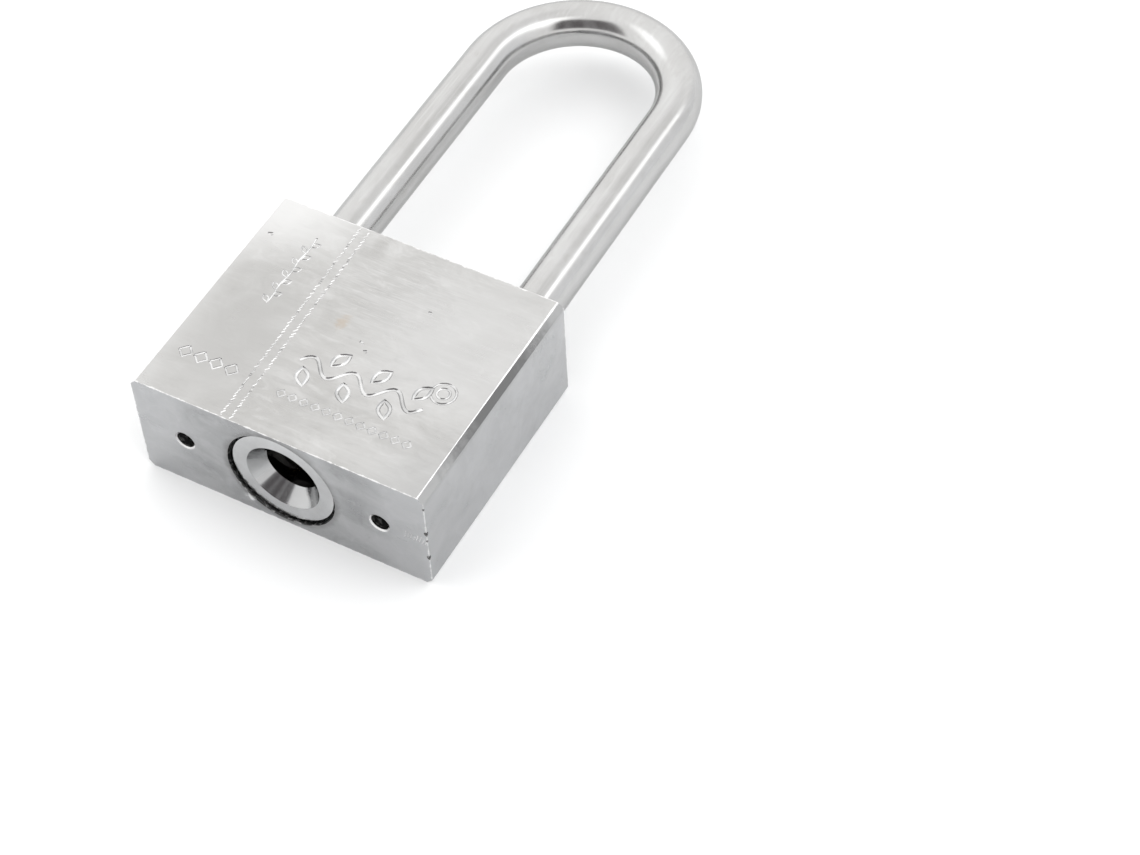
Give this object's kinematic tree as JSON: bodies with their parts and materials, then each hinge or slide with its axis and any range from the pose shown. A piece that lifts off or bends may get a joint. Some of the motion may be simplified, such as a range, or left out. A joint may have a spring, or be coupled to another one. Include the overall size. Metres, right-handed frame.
{
  "type": "padlock",
  "caption": "Rectangular padlock with a long round shackle, a round key-end guard with a coned mouth, and a ball-locked shackle that lifts and unlocks as the plug turns.",
  "frame": {"origin": "centre of the body's back face, which the lock rests on", "axes": "+X across the width, +Y from the key end towards the shackle, +Z out of the front face"},
  "size_m": [0.04, 0.0892, 0.016],
  "materials": {
    "body_steel": "satin nickel plate, finely brushed",
    "shackle_chrome": "polished chrome plate",
    "guard_steel": "hardened steel, satin, with a turned cone",
    "pin_steel": "ground steel",
    "spring_steel": "drawn spring wire",
    "ball_steel": "polished hardened steel",
    "cam_steel": "sintered steel",
    "cylinder_brass": "turned brass",
    "plug_brass": "turned and milled brass",
    "wafer_brass": "stamped brass"
  },
  "bodies": {
    "case": {"body_block": "body_steel", "ball_channel_plug": "body_steel", "heel_pin": "pin_steel", "cylinder_pin": "pin_steel", "cylinder_sleeve": "cylinder_brass", "cam_washer": "pin_steel", "guard_snap_ring": "spring_steel"},
    "shackle": {"shackle": "shackle_chrome", "shackle_spring": "spring_steel"},
    "ball_left": {"ball_left": "ball_steel"},
    "ball_right": {"ball_right": "ball_steel"},
    "guard": {"guard_disc": "guard_steel"},
    "plug": {"plug": "plug_brass", "plug_clip": "spring_steel", "locking_cam": "cam_steel", "wafer_springs": "spring_steel"},
    "wafer_1": {"wafer_1": "wafer_brass"},
    "wafer_2": {"wafer_2": "wafer_brass"},
    "wafer_3": {"wafer_3": "wafer_brass"},
    "wafer_4": {"wafer_4": "wafer_brass"},
    "wafer_5": {"wafer_5": "wafer_brass"},
    "wafer_6": {"wafer_6": "wafer_brass"}
  },
  "joints": [
    {"name": "shackle_lift", "type": "slide", "parent": "case", "child": "shackle", "axis": [0, 1, 0], "range_m": [0, 0.012], "deforming": ["shackle_spring"]},
    {"name": "plug_turn", "type": "hinge", "parent": "case", "child": "plug", "pos_m": [0, 0, 0.008], "axis": [0, 1, 0], "range_deg": [0, 90]},
    {"name": "ball_left_draw", "type": "slide", "parent": "case", "child": "ball_left", "axis": [1, 0, 0], "range_m": [0, 0.0042]},
    {"name": "ball_right_draw", "type": "slide", "parent": "case", "child": "ball_right", "axis": [-1, 0, 0], "range_m": [0, 0.0042]},
    {"name": "guard_spin", "type": "hinge", "parent": "case", "child": "guard", "pos_m": [0, -0.0146, 0.008], "axis": [0, 1, 0], "continuous": true},
    {"name": "wafer_1_rise", "type": "slide", "parent": "plug", "child": "wafer_1", "axis": [0, 0, 1], "range_m": [0, 0.0006]},
    {"name": "wafer_2_rise", "type": "slide", "parent": "plug", "child": "wafer_2", "axis": [0, 0, 1], "range_m": [0, 0.0006]},
    {"name": "wafer_3_rise", "type": "slide", "parent": "plug", "child": "wafer_3", "axis": [0, 0, 1], "range_m": [0, 0.0006]},
    {"name": "wafer_4_rise", "type": "slide", "parent": "plug", "child": "wafer_4", "axis": [0, 0, 1], "range_m": [0, 0.0006]},
    {"name": "wafer_5_rise", "type": "slide", "parent": "plug", "child": "wafer_5", "axis": [0, 0, 1], "range_m": [0, 0.0006]},
    {"name": "wafer_6_rise", "type": "slide", "parent": "plug", "child": "wafer_6", "axis": [0, 0, 1], "range_m": [0, 0.0006]}
  ],
  "couplings": [
    {"joint": "plug_turn", "follows": "shackle_lift", "rad_per_m": 130.9},
    {"joint": "ball_left_draw", "follows": "shackle_lift", "ratio": 0.35},
    {"joint": "ball_right_draw", "follows": "shackle_lift", "ratio": 0.35}
  ]
}
